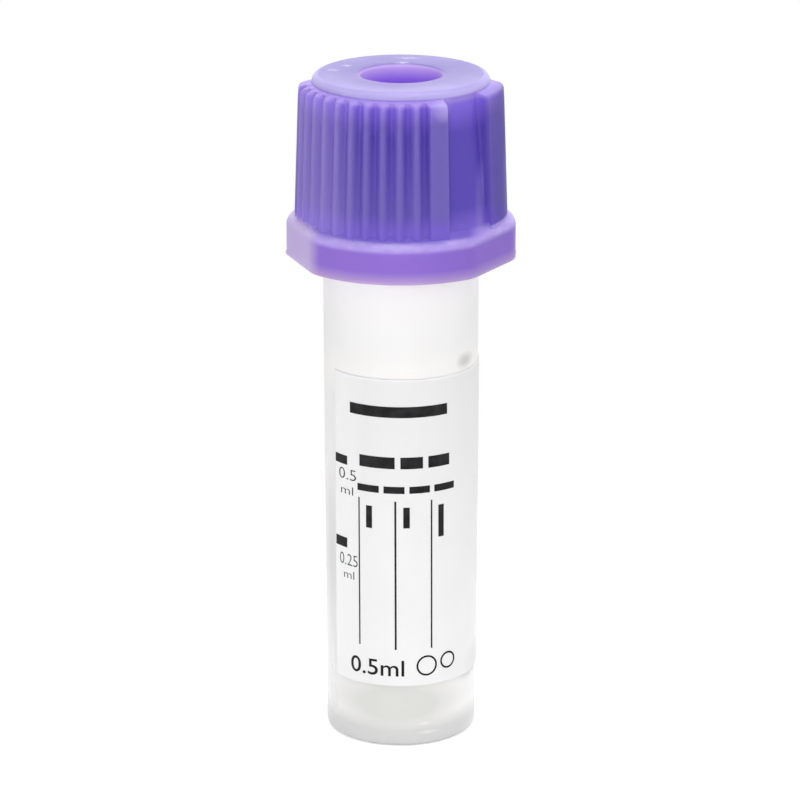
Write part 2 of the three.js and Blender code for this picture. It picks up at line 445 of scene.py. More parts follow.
@dataclass(frozen=True)
class VioletPolyethylene:
    """Moulded violet polyethylene, satin, with a painted glow where it is thin or near an edge and painted
    light and shade in its colours.
    """

    # Painted glow: the thin lip paler as light shines through it. Painted light: the shoulder and the
    # grip's foot lighter where it falls.
    lip: Color = srgb(175, 151, 195)
    flange: Color = srgb(136, 103, 197)
    shoulder: Color = srgb(168, 148, 218)
    foot: Color = srgb(112, 90, 192)
    # Crests paler with painted sheen and grooves deeper with painted shade; their upper ends and ledges
    # paler with painted light from above.
    crest: Color = srgb(104, 90, 169)
    crest_end: Color = srgb(134, 112, 200)
    ledge: Color = srgb(142, 124, 198)
    groove: Color = srgb(82, 64, 168)
    groove_end: Color = srgb(122, 96, 208)
    groove_ledge: Color = srgb(144, 122, 204)
    # The top face; its rim and edge paler with painted highlights.
    crown: Color = srgb(123, 111, 177)
    rim: Color = srgb(172, 162, 212)
    edge: Color = srgb(156, 145, 203)
    # Painted glints on the top face and along the flange's upper edge.
    glint: Color = srgb(214, 208, 238)
    # Painted glow of light through the thin wall of the hole, deeper lower down.
    hole: Color = srgb(226, 198, 255)
    hole_depth: Color = srgb(186, 140, 255)
    # Painted sheen on the left of the grip, painted light on the flange's left flat, painted shade on the
    # right.
    left_sheen: Color = srgb(200, 180, 236)
    pale: Color = srgb(188, 170, 214)
    shaded: Color = srgb(44, 16, 132)
    tone: Color = srgb(60, 45, 140)
    roughness: float = 0.38
    gloss: float = 0.20
    glow: float = 0.25
    glow_depth: float = 1.0 * MM
    crest_fade: float = 1.0
    groove_fade: float = 1.7
    # Places and half widths of painted glints on the top face.
    glint_spots: tuple[Place, ...] = ((0.5, 4.0, 0.95), (0.1, 2.8, 0.6), (-4.1, 0.8, 0.5), (-3.3, 2.0, 0.4))

    def make(self, cap: "PullCap") -> bpy.types.Material:
        """Makes the material: a pale crown, a shoulder and lip paler with painted light, a grip deeper with
        painted shade, rib crests paler with painted sheen.

        Args:
            cap: the cap, for the places between which the shade changes.

        Returns:
            The material.
        """
        shading = Shading(bpy.data.materials.new("violet_polyethylene"))
        cloud, grain = shading.cloud(260.0, 3.0), shading.cloud(4200.0, 2.0)
        height, gloss = shading.part("Z"), self.gloss
        shade = self.ribs(shading, cap)
        # Painted light and shade zone by zone; the right side's painted shade also takes off gloss.
        for zone in self.zones(cap):
            share = shading.zone(zone)
            shade = shading.mixed(share, shade, zone.color)
            if zone.matt:
                gloss = shading.math("MULTIPLY_ADD", share, -self.gloss, self.gloss)
        # Painted highlight at the top of the wide rib.
        rib_top_highlight = Spot((2.6, -5.6, cap.rib_top - 0.3), (0.85, 1.4, 1.0), 0.65, self.rim, 0.55)
        shade = self.crown_over(shading, cap, shading.spotted(shade, (rib_top_highlight,)))
        top = cap.flange_top
        # Painted highlight streaks along the flange's upper edge, broken up by a cloud.
        ridge = shading.band(height, (top - 0.15, top + 0.1, top + 0.3, top + 0.42))
        ridge_glints = shading.moved(shading.cloud(900.0, 3.0, (1.0, 2.5)), (0.42, 0.66), (0.0, 0.24))
        shade = shading.mixed(shading.math("MULTIPLY", ridge, ridge_glints), shade, self.glint)
        # Painted glints on the top face, broken up by the fine cloud.
        spots = [Spot((x, y, cap.top), (wide, 0.34, 0.25), 0.9, self.glint) for x, y, wide in self.glint_spots]
        shade = shading.spotted(shade, tuple(spots), shading.moved(grain, (0.42, 0.56), (0.1, 0.7)))
        # Painted glow inside the hole, paler near its top.
        hole = shading.mixed(shading.fade(height, cap.top - 0.2, cap.top - 1.0), self.hole, self.hole_depth)
        inside = shading.fade(shading.reach(), cap.hole_radius + 0.1, cap.hole_radius - 0.01)
        shade = shading.mixed(inside, shade, hole)
        shade = shading.mixed(shading.moved(cloud, (0.3, 0.7), (0.0, 0.06)), shade, self.tone)
        return shading.moulded(cloud, (self.roughness - 0.05, self.roughness + 0.05), {
            "Base Color": shade,
            "IOR": 1.5,
            "Subsurface Weight": self.glow,
            "Subsurface Radius": (0.8, 0.7, 1.0),
            "Subsurface Scale": self.glow_depth,
            "Specular IOR Level": gloss,
            "Normal": shading.bump(grain, 0.01 * MM, 0.2),
        })

    def ribs(self, shading: Shading, cap: "PullCap") -> Socket:
        """The shade by height on the crests, paler with painted sheen, and, where the face is sunk below
        them, in the grooves, deeper with painted shade.

        Args:
            shading: the material under construction.
            cap: the cap, for the crests' line.

        Returns:
            The colour's socket.
        """
        closing = math.tan(math.radians(cap.grip_draft))
        at_foot = (cap.grip_radius + cap.grip_foot * closing) * MM
        crest_line = shading.math("MULTIPLY_ADD", shading.part("Z"), -closing, at_foot)
        # Painted shade in the grooves against painted sheen on the crests, by how far the face is sunk
        # below the crests.
        sunk = shading.fade(shading.math("SUBTRACT", crest_line, shading.reach()), 0.04, 0.38)
        crests = (self.crest, self.crest_end, self.ledge)
        grooves = (self.groove, self.groove_end, self.groove_ledge)
        return shading.mixed(
            sunk,
            self.by_height(shading, cap, crests, self.crest_fade),
            self.by_height(shading, cap, grooves, self.groove_fade),
        )

    def zones(self, cap: "PullCap") -> tuple[Zone, ...]:
        """Where painted light or shade differs from what lies beside it, in the order of laying.

        Args:
            cap: the cap, for its heights.

        Returns:
            Painted sheen on the left of the grip, painted light on the flange's left flat, painted
            shade on the right of grip and flange, a painted glow in the window's corner, and painted light
            on the feet beside it.
        """
        low, foot = cap.flange_top, cap.grip_foot
        below, ends = (cap.bottom - 1.0, cap.bottom - 0.5), (cap.rib_top - 0.4, cap.rib_top)
        return (
            # Painted sheen on the left of the grip.
            Zone((-6.9, -6.2, -4.4, -2.2), (low, low + 0.3, *ends), 0.17, self.left_sheen),
            # Painted light on the flange's left flat.
            Zone((-9.0, -8.5, -5.6, -4.9), (*below, foot, foot + 0.3), 0.8, self.pale),
            # Painted shade on the right of the grip, which also loses gloss there.
            Zone((4.7, 6.2, 8.5, 9.0), (foot - 0.05, foot + 0.25, *ends), 0.75, self.shaded, True),
            # Painted shade on the right of the flange.
            Zone((1.2, 6.5, 8.5, 9.0), (*below, low, low + 0.35), 0.2, self.shaded),
            # Painted glow in the window's lower corner.
            Zone((4.4, 4.75, 4.9, 5.05), (foot - 0.2, foot, 36.4, 37.7), 0.22, self.shoulder),
            # Painted light on the shoulder below the block and the window.
            Zone((4.2, 5.2, 6.9, 7.2), (low, low + 0.2, foot + 0.1, foot + 0.3), 0.8, self.shoulder),
            Zone((4.0, 4.7, 5.3, 5.4), (low, low + 0.2, foot + 0.25, foot + 0.45), 0.45, self.shoulder),
        )

    def crown_over(self, shading: Shading, cap: "PullCap", shade: Socket) -> Socket:
        """Lays the top face's shades over the rest, with a painted highlight lighter at the front and near
        its edge.

        Args:
            shading: the material under construction.
            cap: the cap, for its top.
            shade: the colour so far.

        Returns:
            The new colour's socket.
        """
        height, reach = shading.part("Z"), shading.reach()
        # Painted highlight, stronger towards the front and the outer edge of the top face.
        front = shading.moved(shading.part("Y"), (0.5 * MM, -3.8 * MM), (0.15, 1.0))
        outer = shading.math("MULTIPLY", front, shading.fade(reach, 3.0, 5.0))
        face = shading.mixed(outer, self.crown, self.edge)
        flat = shading.fade(height, cap.top - 0.01, cap.top)
        high = shading.fade(height, cap.top - 0.9, cap.top - 0.6)
        hole_edge = shading.math("MULTIPLY", high, shading.fade(reach, 3.3, 3.1))
        return shading.mixed(shading.math("MAXIMUM", flat, hole_edge), shade, face)

    def by_height(self, shading: Shading, cap: "PullCap", grip: tuple[Color, ...], fade: float) -> Socket:
        """The shade from the flange's lip to the top face, with painted light on the lip, shoulder, foot
        and upper ends.

        Args:
            shading: the material under construction.
            cap: the cap, for its heights.
            grip: the shades of the grip's middle, and of its upper end and the ledge above, paler with
                painted light.
            fade: how far down the upper end's painted light reaches, in millimetres.

        Returns:
            The colour's socket.
        """
        middle, end, ledge = grip
        # Painted light along the height: a paler thin lip, a lighter shoulder and grip foot, and paler rib
        # ends, ledges and crown rim where light falls from above.
        stops = [
            (cap.bottom, self.lip),
            (cap.bottom + 0.75, self.flange),
            (cap.flange_top - 0.25, self.flange),
            (cap.flange_top + 0.04, self.shoulder),
            (cap.flange_top + 0.22, self.shoulder),
            (cap.flange_top + 0.45, self.foot),
            (cap.grip_foot + 0.5, self.foot),
            (cap.grip_foot + 1.6, middle),
            (cap.rib_top - 0.4 - fade, middle),
            (cap.rib_top - 0.4, end),
            (cap.rib_top - 0.2, ledge),
            (cap.rib_top + 0.01, ledge),
            (cap.rib_top + 0.1, self.rim),
            (cap.top - 0.15, self.rim),
            (cap.top, self.edge),
        ]
        share = shading.fade(shading.part("Z"), cap.bottom, cap.top)
        span = cap.top - cap.bottom
        return shading.ramp(share, [((z - cap.bottom) / span, color) for z, color in stops])


@dataclass(frozen=True)
class MilkyPolypropylene:
    """Natural polypropylene: pale, milky and partly see-through."""

    light: Color = srgb(251, 249, 246)
    dull: Color = srgb(248, 246, 243)
    # Painted shade where the hollow skirt and the dome show through the wall.
    hollow: Color = srgb(219, 219, 218)
    dome: Color = srgb(222, 222, 218)
    grey_patch: Color = srgb(210, 209, 208)
    clear: float = 0.12
    roughness: float = 0.30
    glow: float = 0.6
    spots: tuple[Spot, ...] = (
        # Painted shade of the dome and the hollow skirt seen through the wall.
        Spot((-0.2, -4.3, 2.85), (4.6, 6.0, 2.0), 0.5, dome),
        # Two painted highlight streaks low on the skirt.
        Spot((1.45, -4.1, 1.5), (0.55, 2.0, 0.14), 0.9, light, 0.6),
        Spot((1.65, -4.0, 0.9), (0.8, 2.0, 0.16), 0.9, light, 0.6),
        # Painted shade below the film's lower right corner and down the tube's bare strip at the left.
        Spot((4.2, -1.4, 4.4), (1.0, 3.0, 0.8), 0.7, hollow),
        Spot((-4.3, -1.0, 11.5), (0.55, 4.0, 7.5), 0.8, hollow),
        # A darker grey patch on the tube just above the film's upper edge, front right.
        Spot((3.88, -2.6, 24.8), (0.62, 2.0, 0.6), 0.7, grey_patch),
    )

    def make(self) -> bpy.types.Material:
        """Makes the material, with painted shade greyer at the skirt, at the dome and at the sides, painted
        highlight streaks low down, a grey patch above the film, and less deep by the film's edge.

        Returns:
            The material.
        """
        shading = Shading(bpy.data.materials.new("milky_polypropylene"))
        cloud, height = shading.cloud(180.0, 2.0, (1.0, 0.35)), shading.part("Z")
        shade = shading.ramp(cloud, [(0.35, self.dull), (0.65, self.light)])
        # Painted shade: greyer low on the skirt.
        shade = shading.mixed(shading.fade(height, 2.1, 1.1), shade, self.hollow)
        beside = shading.band(height, (22.8, 23.6, 24.5, 25.5))
        return shading.moulded(cloud, (self.roughness - 0.04, self.roughness + 0.06), {
            "Base Color": shading.spotted(shade, self.spots),
            "IOR": 1.49,
            "Transmission Weight": self.clear,
            "Subsurface Weight": shading.math("MULTIPLY_ADD", beside, 0.05 - self.glow, self.glow),
            "Subsurface Radius": (1.0, 1.0, 1.0),
            "Subsurface Scale": 1.2 * MM,
            "Normal": shading.bump(shading.cloud(2600.0, 2.0, (1.0, 0.3)), 0.006 * MM, 0.3),
        })


@dataclass(frozen=True)
class SatinFilm:
    """White printed film, a little cooler and denser than the tube behind it."""

    light: Color = srgb(236, 236, 236)
    dull: Color = srgb(233, 232, 232)
    upper: Color = srgb(225, 224, 224)
    # Painted shade at the film's lower right corner.
    corner: Color = srgb(222, 221, 221)
    # Painted light at the left and a painted highlight along the upper edge.
    bright: Color = srgb(248, 248, 248)
    clear: float = 0.06
    roughness: float = 0.38

    def make(self) -> bpy.types.Material:
        """Makes the material, greyer upwards, with painted shade at the lower right corner, painted light
        brighter at the left and a painted highlight along the upper edge.

        Returns:
            The material.
        """
        shading = Shading(bpy.data.materials.new("satin_film"))
        cloud, height = shading.cloud(140.0, 3.0), shading.part("Z")
        shade = shading.ramp(cloud, [(0.35, self.dull), (0.65, self.light)])
        shade = shading.mixed(shading.fade(height, 8.0, 21.0, 0.75), shade, self.upper)
        # Painted shade at the lower right corner.
        shade = shading.spotted(shade, (Spot((4.6, -1.0, 4.9), (0.9, 3.0, 1.2), 0.8, self.corner),))
        # Painted light, brighter towards the left.
        shade = shading.mixed(shading.fade(shading.part("X"), -2.2, -4.2, 0.6), shade, self.bright)
        # Painted highlight along the upper edge.
        shade = shading.mixed(shading.fade(height, 24.0, 24.12, 0.5), shade, self.bright)
        return shading.moulded(cloud, (self.roughness - 0.05, self.roughness + 0.05), {
            "Base Color": shade,
            "IOR": 1.5,
            "Transmission Weight": self.clear,
            "Normal": shading.bump(shading.cloud(900.0, 2.0), 0.004 * MM, 0.3),
        })


@dataclass(frozen=True)
class PrintInk:
    """Black printing ink with a faint mottle."""

    dark: Color = srgb(14, 14, 15)
    wear_or_glint: Color = srgb(38, 38, 40)
    gloss: float = 0.15

    def make(self) -> bpy.types.Material:
        """Makes the material.

        Returns:
            The material.
        """
        shading = Shading(bpy.data.materials.new("print_ink"))
        cloud = shading.cloud(1500.0, 4.0)
        return shading.moulded(cloud, (0.4, 0.6), {
            "Base Color": shading.ramp(cloud, [(0.4, self.dark), (0.75, self.wear_or_glint)]),
            "Specular IOR Level": self.gloss,
        })


# --- Pieces ---


@dataclass
class SampleTube:
    """The moulded tube: a round-bottomed bore above a hollow skirt."""

    length: float = 40.6
    foot_radius: float = 4.7
    draft: float = 0.16
    wall: float = 0.88
    floor: float = 0.9
    skirt: float = 5.5
    skirt_fillet: float = 0.4
    skirt_corner: float = 0.35
    foot_edge: float = 0.35
    foot_chamfer: float = 0.2
    rim_edge: float = 0.3
    columns: int = 180
    finish: MilkyPolypropylene = field(default_factory=MilkyPolypropylene)

    def outside(self, z: Length) -> Length:
        """The outside radius at a height: the foot's plus the draft's share."""
        return self.foot_radius + z * math.tan(math.radians(self.draft))

    def bore(self, z: Length) -> Length:
        """The bore's radius at a height: the outside less the wall."""
        return self.outside(z) - self.wall

    def profile(self) -> Array:
        """The outline: under the dome, down the skirt, up outside, down the bore.

        Returns:
            Array of shape (points, 2), from the axis out, up and back.
        """
        dome = self.skirt + self.floor + self.bore(self.skirt)
        inner = self.bore(dome)
        outer = inner + self.floor
        stop = -math.degrees(math.acos((self.bore(self.skirt) - self.skirt_fillet) / outer))
        under = arc(0.0, dome, outer, -89.0, stop, 30)
        wall_top = (self.bore(self.skirt), under[-1, 1] - self.skirt_corner)
        corner = self.eased(tuple(under[-1]), (self.bore(self.skirt), under[-1, 1]), wall_top, 8)
        rim = self.length - self.rim_edge
        return np.concatenate([
            under,
            corner,
            straight(wall_top, (self.bore(0.0), self.foot_chamfer), 10)[1:],
            straight((self.bore(0.0), self.foot_chamfer), (self.bore(0.0) + self.foot_chamfer, 0.0), 4)[1:],
            arc(self.foot_radius - self.foot_edge, self.foot_edge, self.foot_edge, -90.0, 0.0, 9),
            straight((self.foot_radius, self.foot_edge), (self.outside(rim), rim), 40)[1:-1],
            arc(self.outside(self.length) - self.rim_edge, rim, self.rim_edge, 0.0, 90.0, 8),
            arc(self.bore(self.length) + self.rim_edge, rim, self.rim_edge, 90.0, 180.0, 8),
            straight((self.bore(rim), rim), (inner, dome), 36)[1:-1],
            arc(0.0, dome, inner, 0.0, -89.0, 34),
        ])

    def eased(self, start: Point, corner: Point, end: Point, count: int) -> Array:
        """A rounded corner: the curve (1-t)²·start + 2t(1-t)·corner + t²·end.

        Args:
            start: radius and height where it begins.
            corner: the corner it rounds.
            end: radius and height where it ends.
            count: number of points after the start.

        Returns:
            Array of shape (count, 2).
        """
        t = np.linspace(0.0, 1.0, count + 1)[1:, None]
        first, middle, last = (np.asarray(point) for point in (start, corner, end))
        return (1 - t) ** 2 * first + 2 * t * (1 - t) * middle + t**2 * last

    def build(self) -> Piece:
        """Builds the tube, dresses it and lets it stand for its solid.

        Returns:
            The piece.
        """
        outline = self.profile()
        shape = (len(outline), self.columns)
        radii = np.broadcast_to(outline[:, :1], shape)
        heights = np.broadcast_to(outline[:, 1:], shape)
        piece = turned_piece("sample_tube", radii, heights)
        return seated(piece, self.finish.make(), Body.TUBE, "tube")


@dataclass
class PullCap:
    """The ribbed cap: one closed surface from the plug's tip to the hole's floor."""

    tube: SampleTube
    overlap: float = 9.8
    seat_gap: float = 0.05
    sleeve_clearance: float = 0.12
    plug_clearance: float = 0.08
    plug_length: float = 7.6
    plug_lead_in: float = 0.5
    mouth_chamfer: float = 0.35
    panel: float = 1.5
    crown_fillet: float = 0.45
    body_radius: float = 6.1
    body_draft: float = 4.7
    grip_radius: float = 6.52
    grip_draft: float = 2.0
    hole_radius: float = 2.5
    hole_draft: float = 0.8
    hole_edge: float = 0.22
    membrane: float = 0.8
    window_centre: float = 42.0
    window_width: float = 29.3
    front_ribs: int = 10
    rear_ribs: int = 9
    rib_pitch: float = 9.4
    rib_width: float = 4.7
    rib_flank: float = 4.2
    end_rib_width: float = 11.7
    end_rib_flank: float = 1.8
    groove_foot: float = 0.22
    groove_top: float = 0.45
    rib_drop: float = 0.47
    rib_edge: float = 0.35
    rib_slope: float = 16.0
    flange_radius: float = 7.1
    flange_height: float = 2.1
    flange_edge: float = 0.45
    flash: float = 0.07
    shoulder: float = 37.0
    flats: tuple[float, ...] = (58.5, 175.0, -69.0)
    flat_depth: float = 0.42
    flat_blend: float = 0.18
    tags: Point = (-91.0, 94.0)
    tag_width: float = 5.0
    lip_outline: tuple[Point, ...] = (
        (-0.6, 0.0), (-0.06, 0.0), (0.75, 0.015), (1.0, 0.05), (0.8, 0.09), (0.3, 0.14), (0.05, 0.22)
    )
    pole_ring: float = 0.15
    columns: int = 900
    finish: VioletPolyethylene = field(default_factory=VioletPolyethylene)

    def __post_init__(self) -> None:
        """Works out the sizes that follow from the others, and the columns' angles."""
        self.degrees = around(self.columns)
        self.bottom = self.tube.length - self.overlap
        self.underside = self.tube.length + self.seat_gap
        self.top = self.underside + self.panel
        self.sleeve = self.tube.outside(self.tube.length) + self.sleeve_clearance
        self.plug_tip = self.underside - self.plug_length
        self.plug = self.tube.bore(self.plug_tip) - self.plug_clearance
        self.hole_floor = self.plug_tip + self.membrane
        self.flange_top = self.bottom + self.flange_height
        self.grip_foot = float(self.shoulder_at(self.grip_radius))
        self.rib_top = self.top - self.rib_drop
        front, rear = self.panel_width(self.front_ribs), self.panel_width(self.rear_ribs)
        self.block_width = 360.0 - 3 * self.window_width - front - rear
        self.block_start = self.window_centre + self.window_width / 2
        self.rear_start = self.block_start + self.block_width + self.window_width
        self.front_start = self.rear_start + rear + self.window_width

    def panel_width(self, ribs: int) -> float:
        """The width in degrees of a panel: its ribs and grooves and two end ribs."""
        return 2 * self.end_rib_width + (ribs + 1) * self.rib_pitch - self.rib_width

    def shoulder_at(self, r: Length) -> Length:
        """The shoulder's height at a radius: it rises inwards at its slope."""
        return self.flange_top + (self.flange_radius - r) * math.tan(math.radians(self.shoulder))

    def closing(self, z: Length, draft: float) -> Length:
        """How much nearer to the axis a drafted face is at a height than at the grip's foot."""
        return (z - self.grip_foot) * math.tan(math.radians(draft))

    def body_at(self, z: Length) -> Length:
        """The smooth body's radius at a height."""
        return self.body_radius - self.closing(z, self.body_draft)

    def crest_at(self, z: Length) -> Length:
        """The radius of the ribs' crests at a height."""
        return self.grip_radius - self.closing(z, self.grip_draft)

    def groove_at(self, z: Length) -> Length:
        """The radius of the grooves' floors, which deepen evenly towards the top."""
        share = (z - self.grip_foot) / (self.rib_top - self.grip_foot)
        return self.crest_at(z) - self.groove_foot - (self.groove_top - self.groove_foot) * share

    def raised_parts(self) -> list[tuple[Array, float, float]]:
        """The round ribs, the flat end ribs and the plain block.

        Returns:
            For each kind its middles, its width and its flank, all in degrees.
        """
        round_ribs, end_ribs = [], []
        for start, ribs in ((self.front_start, self.front_ribs), (self.rear_start, self.rear_ribs)):
            first = start + self.end_rib_width + self.rib_pitch - self.rib_width / 2
            round_ribs.append(first + self.rib_pitch * np.arange(ribs))
            ends = (self.end_rib_width / 2, self.panel_width(ribs) - self.end_rib_width / 2)
            end_ribs.append(start + np.array(ends))
        block = np.array([self.block_start + self.block_width / 2])
        return [
            (np.concatenate(round_ribs), self.rib_width, self.rib_flank),
            (np.concatenate(end_ribs), self.end_rib_width, self.end_rib_flank),
            (block, self.block_width, self.end_rib_flank),
        ]

    def rise(self) -> Array:
        """How far the grip stands up round the axis, from 0 in a groove to 1 on a crest.

        Formula: for each raised part, the smoothstep of the distance in from its
        edge over its flank; the greatest of them counts.

        Returns:
            A value for each column.
        """
        total = np.zeros(self.columns)
        for middles, width, flank in self.raised_parts():
            off = np.abs(wrapped(self.degrees[None, :] - middles[:, None]))
            total = np.maximum(total, smoothstep(((width + flank) / 2 - off) / flank).max(axis=0))
        return total

    def ribbed(self) -> Array:
        """Where a panel of ribs is, from the middle of one end rib to the other's.

        Returns:
            A truth value for each column.
        """
        inside = np.zeros(self.columns, bool)
        for start, ribs in ((self.front_start, self.front_ribs), (self.rear_start, self.rear_ribs)):
            half = self.panel_width(ribs) / 2
            inside |= np.abs(wrapped(self.degrees - start - half)) < half - self.end_rib_width / 2
        return inside

    def face_at(self, z: Array) -> Array:
        """The grip's radius: from the groove's or window's floor up to the crest by the rise."""
        low = np.where(self.ribbed(), self.groove_at(z), self.body_at(z))
        return low + self.rise() * (self.crest_at(z) - low)

    def flange_face(self) -> Array:
        """The flange's radius round the axis.

        Formula: the smooth minimum of the full radius and, at each flat, its
        distance over the cosine of the angle from its middle.

        Returns:
            A radius in millimetres for each column.
        """
        full = self.flange_radius - self.flash
        radius = np.full(self.columns, full)
        for centre in self.flats:
            off = wrapped(self.degrees - centre)
            cosine = np.cos(np.radians(np.clip(off, -60.0, 60.0)))
            flat = (full - self.flat_depth) / cosine
            near = np.clip(self.flat_blend - np.abs(radius - flat), 0.0, None) / self.flat_blend
            radius = np.minimum(radius, flat) - near**2 * self.flat_blend / 4
        return radius

    def inside_rings(self) -> Array:
        """The plug's tip and side, the panel's underside, the sleeve and its mouth.

        Returns:
            Array of shape (rings, 2).
        """
        tip = self.plug - self.plug_lead_in
        lead_in, level = self.plug_tip + self.plug_lead_in, self.underside
        mouth = self.bottom + self.mouth_chamfer
        return np.concatenate([
            straight((self.pole_ring, self.plug_tip), (tip - 0.15, self.plug_tip), 3),
            straight((tip, self.plug_tip + 0.04), (self.plug - 0.05, lead_in), 3),
            straight((self.plug, lead_in + 0.1), (self.plug, level - 0.02), 4),
            straight((self.plug + 0.02, level), (self.sleeve - 0.02, level), 3),
            straight((self.sleeve, level - 0.02), (self.sleeve, mouth), 4),
            np.array([(self.sleeve + self.mouth_chamfer, self.bottom)]),
        ])

    def crown_rings(self) -> Array:
        """The crown's edge, the top face, and the hole down to its floor.

        Returns:
            Array of shape (rings, 2).
        """
        start = self.top - self.crown_fillet
        edge = float(self.body_at(start)) - self.crown_fillet
        rim = self.hole_radius + self.hole_edge
        wall_top = self.top - self.hole_edge
        floor = self.hole_radius - (self.top - self.hole_floor) * math.tan(math.radians(self.hole_draft))
        corner = (floor - self.pole_ring, self.hole_floor + self.pole_ring)
        return np.concatenate([
            arc(edge, start, self.crown_fillet, 0.0, 90.0, 9)[1:],
            straight((edge, self.top), (rim, self.top), 5)[1:-1],
            arc(rim, wall_top, self.hole_edge, 90.0, 180.0, 6),
            straight((self.hole_radius, wall_top), (floor, corner[1]), 8)[1:],
            arc(*corner, self.pole_ring, 0.0, -90.0, 4)[1:],
            straight((corner[0], self.hole_floor), (self.pole_ring, self.hole_floor), 3)[1:],
        ])

    def flange_rings(self) -> tuple[Array, Array]:
        """The flange from its underside to the shoulder's foot.

        Formula: each ring is the face's radius plus an offset, at a height that
        runs from the bottom to the shoulder, with a thin lip of flash low down
        and the upper edge rounded off.

        Returns:
            Radii and heights, each of shape (rings, columns).
        """
        face = self.flange_face()[None, :]
        turn = np.radians(self.degrees)[None, :]
        ragged = 0.40 + 0.2 * np.sin(2 * turn + 0.6) + 0.15 * np.sin(5 * turn + 2.0)
        ragged = ragged + 0.1 * np.sin(11 * turn)
        for tag in self.tags:
            ragged = ragged + 0.7 * np.exp(-((wrapped(self.degrees - tag) / self.tag_width) ** 2))
        lip = self.flash * np.clip(ragged, 0.15, 1.0)
        out, up = np.array(self.lip_outline).T[:, :, None]
        low_r = face + np.where(out < 0, out, out * lip)
        low_z = self.bottom + np.broadcast_to(up, low_r.shape)
        tangent = self.flange_edge * math.tan(math.radians(45.0 - self.shoulder / 2))
        edge_z = self.shoulder_at(face) - tangent
        share = np.linspace(0.15, 1.0, 6)[:, None]
        side_z = low_z[-1] * (1 - share) + edge_z * share
        side_r = np.broadcast_to(face, side_z.shape)
        turn_up = np.radians(np.linspace(0.0, 90.0 - self.shoulder, 6))[1:, None]
        radius = self.flange_edge
        edge_r = face - radius * (1 - np.cos(turn_up))
        top_z = edge_z + radius * np.sin(turn_up)
        return np.concatenate([low_r, side_r, edge_r]), np.concatenate([low_z, side_z, top_z])

    def grip_rings(self) -> tuple[Array, Array]:
        """The grip from its foot on the shoulder to the ribs' upper ends.

        Formula: a ring lies on the grip's face; at the upper end it follows the
        face in a groove and the crest's rounded edge and sloping ledge on a rib,
        and the rise shares out both the radius and the height between them.

        Returns:
            Radii and heights, each of shape (rings, columns).
        """
        rise = self.rise()[None, :]
        body_end = float(self.body_at(self.rib_top))
        slope = math.radians(self.rib_slope)
        edge_r = float(self.crest_at(self.rib_top)) - self.rib_edge
        line_z = self.rib_top - (edge_r - body_end) * math.tan(slope)
        edge_z = line_z - self.rib_edge / math.cos(slope)
        ledge = arc(edge_r, edge_z, self.rib_edge, 0.0, 90.0 - self.rib_slope, 7)
        crest = np.concatenate([ledge, straight(tuple(ledge[-1]), (body_end + 0.02, self.rib_top), 5)[1:]])
        low_z = np.linspace(edge_z, self.rib_top, len(crest))[:, None]
        low_r = np.where(self.ribbed(), self.groove_at(low_z), self.body_at(low_z))
        low_r[-1] = body_end + 0.01
        end_r = low_r * (1 - rise) + crest[:, :1] * rise
        end_z = low_z * (1 - rise) + crest[:, 1:] * rise
        foot_z = self.shoulder_at(self.face_at(np.array([[self.grip_foot]])))
        share = np.linspace(0.0, 1.0, 18)[:-1, None] ** 1.15
        side_z = foot_z * (1 - share) + end_z[:1] * share
        side_r = self.face_at(side_z)
        return np.concatenate([side_r, end_r]), np.concatenate([side_z, end_z])

    def build(self) -> Piece:
        """Builds the cap, dresses it and lets it stand for its solid.

        Returns:
            The piece.
        """
        inside, crown = self.inside_rings(), self.crown_rings()
        flange_r, flange_z = self.flange_rings()
        grip_r, grip_z = self.grip_rings()
        foot_r, foot_z = flange_r[-1:], flange_z[-1:]
        share = np.linspace(0.0, 1.0, 7)[1:-1, None]
        slope_r = foot_r * (1 - share) + grip_r[:1] * share
        slope_z = foot_z * (1 - share) + grip_z[:1] * share
        wide = (1, self.columns)
        radii = [np.tile(inside[:, :1], wide), flange_r, slope_r, grip_r, np.tile(crown[:, :1], wide)]
        heights = [np.tile(inside[:, 1:], wide), flange_z, slope_z, grip_z, np.tile(crown[:, 1:], wide)]
        piece = turned_piece("pull_cap", np.concatenate(radii), np.concatenate(heights))
        return seated(piece, self.finish.make(self), Body.CAP, "cap")


